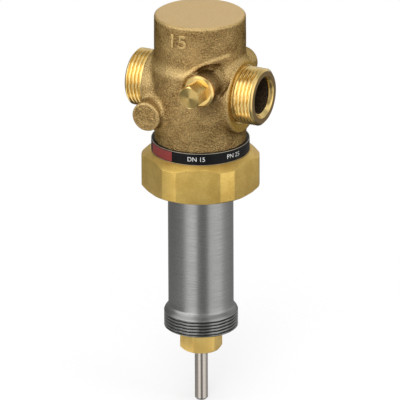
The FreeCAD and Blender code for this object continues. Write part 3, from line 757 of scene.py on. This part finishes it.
def makeSoftEdged(name, look, make):
    mesh = solidCopy(name, look["node"])
    work = bmesh.new()
    work.from_mesh(mesh)
    bmesh.ops.dissolve_limit(work, angle_limit=math.radians(make["flatAngle"]), verts=work.verts, edges=work.edges)
    work.to_mesh(mesh)
    work.free()
    thing = newObject(name + "Work", mesh)
    soft = thing.modifiers.new("brokenEdges", "BEVEL")
    soft.width = look["width"] * mm
    soft.segments = make["segments"]
    soft.limit_method = "ANGLE"
    soft.angle_limit = math.radians(make["edgeAngle"])
    soft.use_clamp_overlap = True
    mesh = applied(thing)
    sharpEdges(mesh, make["sharpAngle"])
    mesh.name = name
    newPiece(name, mesh, look["finish"], stands=[look["node"]])


for name, look in softEdged.items():
    makeSoftEdged(name, look, softMake)
print("nuts and plug softened")

# return spring: its upper end rests on the guide; a copy of the solid stands for it, shaded smooth by angle
returnSpring = {"finish": "groundSteel", "sharpAngle": 50}


def makeReturnSpring(look):
    mesh = solidCopy("returnSpring", "return_spring")
    sharpEdges(mesh, look["sharpAngle"])
    setFinish(mesh, look["finish"])
    spring = newObject("returnSpring", mesh)
    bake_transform(spring)
    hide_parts("return_spring")


makeReturnSpring(returnSpring)
print("spring made")

# words bent round an upright cylinder, at an angle from the front
letterMake = {"capShare": 0.7, "bevelSteps": 1, "curveSteps": 6}


def bentWords(name, words, angle, look, make=letterMake):
    curve = bpy.data.curves.new(name, "FONT")
    curve.body = words
    curve.size = look["height"] / make["capShare"] * mm
    curve.space_character = look["spacing"]
    curve.align_x = "CENTER"
    curve.align_y = "CENTER"
    curve.extrude = (look["rise"] + look["sink"]) / 2 * mm
    curve.bevel_depth = look["edge"] * mm
    curve.bevel_resolution = make["bevelSteps"]
    curve.resolution_u = make["curveSteps"]
    mesh = applied(newObject(name + "Work", curve))
    radius, middle = look["radius"] * mm, (look["rise"] - look["sink"]) / 2 * mm
    for vertex in mesh.vertices:
        x, y, z = vertex.co
        vertex.co = roundAxis(math.radians(angle) + x / radius, radius + middle + z, look["level"] * mm + y)
    mesh.update()
    mesh.name = name
    return mesh


# number raised in the casting; lengths in mm
castNumber = {"words": "15", "angle": -2.4, "height": 6.2, "radius": 20.9, "level": 144.6, "rise": 0.42, "sink": 0.2,
              "edge": 0.26, "spacing": 1.15}


def makeCastNumber(look):
    mesh = bentWords("castNumber", look["words"], look["angle"], look)
    newPiece("castNumber", mesh, "castBronze")


# print on the label ring: two ratings and a red field; lengths in mm
ringPrint = {"words": (("DN 15", 22.0), ("PN 25", 69.0)), "height": 2.1, "radius": 22.5, "level": 89.4, "rise": 0.02,
             "sink": 0.02, "edge": 0.0, "spacing": 1.0,
             "field": (-48.5, -8.5), "fieldHalf": 2.3, "fieldLift": 0.012, "fieldSteps": 24}


def makeRingWords(look):
    for count, (words, angle) in enumerate(look["words"], start=1):
        name = f"ringWords{count}"
        newPiece(name, bentWords(name, words, angle, look), "whitePrint")


def makeRingField(look):
    radius, steps = (look["radius"] + look["fieldLift"]) * mm, look["fieldSteps"]
    low, high = (look["level"] - look["fieldHalf"]) * mm, (look["level"] + look["fieldHalf"]) * mm
    start, end = look["field"]
    points, faces = [], []
    for i in range(steps + 1):
        angle = math.radians(start + (end - start) * i / steps)
        points += [roundAxis(angle, radius, low), roundAxis(angle, radius, high)]
        if i:
            faces.append((2 * i - 2, 2 * i, 2 * i + 1, 2 * i - 1))
    newPiece("ringField", meshFrom("ringField", points, faces), "redPrint")


makeCastNumber(castNumber)
makeRingWords(ringPrint)
makeRingField(ringPrint)
print("marks made")

# finish of each solid, shown as it is or by a piece that stands for it
nodeFinish = {
    "label_ring": "labelBlack", "spindle": "groundSteel", "seat_ring": "groundSteel", "valve_cone": "groundSteel",
    "cone_nut": "groundSteel", "piston_ring": "packing", "balance_sleeve": "plugBrass", "bonnet_gasket": "graphite",
    "guide_bush": "glandBrass", "guide_clip": "turnedSteel", "return_spring": "groundSteel",
    "spring_plate": "turnedSteel", "spindle_clip": "turnedSteel", "packing_washer": "glandBrass",
    "packing_ring_1": "packing", "packing_ring_2": "packing", "packing_ring_3": "packing", "wiper_ring": "rubber",
    "plug_washer": "copper", "valve_body": "castBronze", "bonnet_tube": "turnedSteel", "union_nut": "forgedBrass",
    "gland_nut": "glandBrass", "test_plug": "plugBrass",
}
for node, finish in nodeFinish.items():
    setFinish(nodes[node].data, finish)
print("solids finished")

# floor, soft lights and the light tent that the metal mirrors; lengths in metres
studio = {"floorLevel": -0.0367, "floorSize": 0.36, "floorFade": (0.07, 0.17), "floorPaint": (0.93, 0.93, 0.93, 1.0),
          "floorGlow": 0.72, "worldLight": 0.32, "tentRadius": 0.95, "tentTip": 0.001, "tentLow": -1.2, "tentHigh": 1.6,
          "tentCentre": 0.06, "tentSteps": 120, "tentBands": 24, "lampAim": (0, 0, 0.07)}


# rays that the eye follows: straight, or by way of metal or glass
def seenRays(tree):
    path = put(tree, "ShaderNodeLightPath").outputs
    bent = mathNode(tree, "MAXIMUM", path["Is Glossy Ray"], path["Is Transmission Ray"])
    return mathNode(tree, "MAXIMUM", path["Is Camera Ray"], bent)


def makeFloor(look):
    bpy.ops.mesh.primitive_plane_add(size=look["floorSize"], location=(0, 0, look["floorLevel"]))
    floor = bpy.context.object
    floor.name = "studioFloor"
    material, tree = emptyMaterial("studioFloor")
    glowing = times(tree, seenRays(tree), look["floorGlow"])
    paint = put(tree, "ShaderNodeBsdfDiffuse", Color=look["floorPaint"])
    glow = put(tree, "ShaderNodeEmission", Color=white, Strength=1.0)
    mixed = put(tree, "ShaderNodeMixShader", i0=glowing, i1=paint.outputs[0], i2=glow.outputs[0])
    where = put(tree, "ShaderNodeTexCoord").outputs["Object"]
    reach = put(tree, "ShaderNodeVectorMath", {"operation": "LENGTH"}, i0=where).outputs["Value"]
    fade = mapRange(tree, reach, *look["floorFade"])
    clear = put(tree, "ShaderNodeBsdfTransparent")
    ended = put(tree, "ShaderNodeMixShader", i0=fade, i1=mixed.outputs[0], i2=clear.outputs[0])
    put(tree, "ShaderNodeOutputMaterial", Surface=ended.outputs[0])
    floor.data.materials.append(material)
    floor.visible_glossy = False


def makeWorld(look):
    world = bpy.data.worlds.new("studioAir")
    bpy.context.scene.world = world
    world.use_nodes = True
    tree = world.node_tree
    tree.nodes.clear()
    strength = timesPlus(tree, seenRays(tree), 1.0 - look["worldLight"], look["worldLight"])
    air = put(tree, "ShaderNodeBackground", Color=white, Strength=strength)
    put(tree, "ShaderNodeOutputWorld", Surface=air.outputs[0])


# brightness round the tent, by the angle from the front towards the outlet
tentBelow = ((-180, 0.07), (-130, 0.07), (-108, 1.0), (-30, 1.3), (-8, 0.5), (8, 0.38), (18, 0.1), (48, 0.08),
             (57, 0.31), (98, 0.31), (116, 0.16), (150, 0.1), (180, 0.07))
tentLevel = ((-180, 0.3), (-150, 0.26), (-112, 0.24), (-38, 0.24), (-18, 1.25), (8, 1.5), (18, 0.32), (48, 0.28),
             (57, 1.25), (98, 1.25), (116, 0.66), (150, 0.42), (180, 0.3))
tentAbove = ((-180, 0.85), (-150, 0.75), (-112, 0.35), (-78, 0.45), (-58, 1.7), (0, 2.0), (10, 1.5), (18, 0.5),
             (48, 0.45), (57, 1.5), (98, 1.5), (118, 0.7), (150, 0.75), (180, 0.85))
tentHigh = ((-180, 0.55), (-150, 0.49), (-112, 0.23), (-78, 0.3), (-58, 1.9), (-20, 2.2), (0, 1.6), (10, 0.98),
            (18, 0.33), (48, 0.3), (57, 0.98), (98, 0.98), (118, 0.46), (150, 0.49), (180, 0.55))
tentRows = ((-37, tentBelow), (-26, tentLevel), (-5, tentLevel),  # by degrees up
            (7, tentAbove), (28, tentAbove), (45, tentHigh))


def makeTent(look, heights):
    steps, bands, low, high = look["tentSteps"], look["tentBands"], look["tentLow"], look["tentHigh"]
    rises = [rise for rise, _ in heights]
    points, faces, level = [], [], []
    for i in range(steps + 1):
        angle = -180 + 360 * i / steps
        column = [float(np.interp(angle, *zip(*curve))) for _, curve in heights]
        for j in range(bands + 1):
            z = low + (high - low) * max(j - 1, 0) / (bands - 1)
            out = look["tentRadius"] if j else look["tentTip"]  # the first row closes the tent below
            points.append(roundAxis(math.radians(angle), out, z))
            rise = math.degrees(math.atan2(z - look["tentCentre"], out))
            level.append(float(np.interp(rise, rises, column)))
    for i in range(steps):
        for j in range(bands):
            a, b = i * (bands + 1) + j, (i + 1) * (bands + 1) + j
            faces.append((a, b, b + 1, a + 1))
    mesh = meshFrom("lightTent", points, faces)
    paint = mesh.attributes.new("tentLight", "FLOAT", "POINT")
    paint.data.foreach_set("value", level)
    material, tree = emptyMaterial("lightTent")
    bright = put(tree, "ShaderNodeAttribute", {"attribute_name": "tentLight"}).outputs["Fac"]
    glow = put(tree, "ShaderNodeEmission", Color=white, Strength=bright)
    put(tree, "ShaderNodeOutputMaterial", Surface=glow.outputs[0])
    mesh.materials.append(material)
    tent = newObject("lightTent", mesh)
    tent.visible_camera = False
    tent.visible_diffuse = False
    tent.visible_shadow = False
    tent.visible_transmission = False


lamps = {
    "frontBox": {"angle": 20.0, "height": 0.6, "away": 0.85, "size": (0.5, 0.8), "power": 7.0},
    "rightBox": {"angle": 84.0, "height": 0.4, "away": 0.9, "size": (0.35, 0.7), "power": 1.5},
    "topBox": {"angle": 30.0, "height": 1.0, "away": 0.15, "size": (0.7, 0.7), "power": 6.5},
}


def makeLamps(look, target):
    for name, lamp in look.items():
        data = bpy.data.lights.new(name, "AREA")
        data.shape = "RECTANGLE"
        data.size, data.size_y = lamp["size"]
        data.energy = lamp["power"]
        light = newObject(name, data)
        light.location = roundAxis(math.radians(lamp["angle"]), lamp["away"], lamp["height"])
        aim = Vector(target) - light.location
        light.rotation_euler = aim.to_track_quat("-Z", "Y").to_euler()
        light.visible_camera = False
        light.visible_glossy = False  # the metal mirrors the tent instead


makeFloor(studio)
makeWorld(studio)
makeTent(studio, tentRows)
makeLamps(lamps, studio["lampAim"])
bpy.context.scene.view_settings.view_transform = "Standard"
print("studio set")
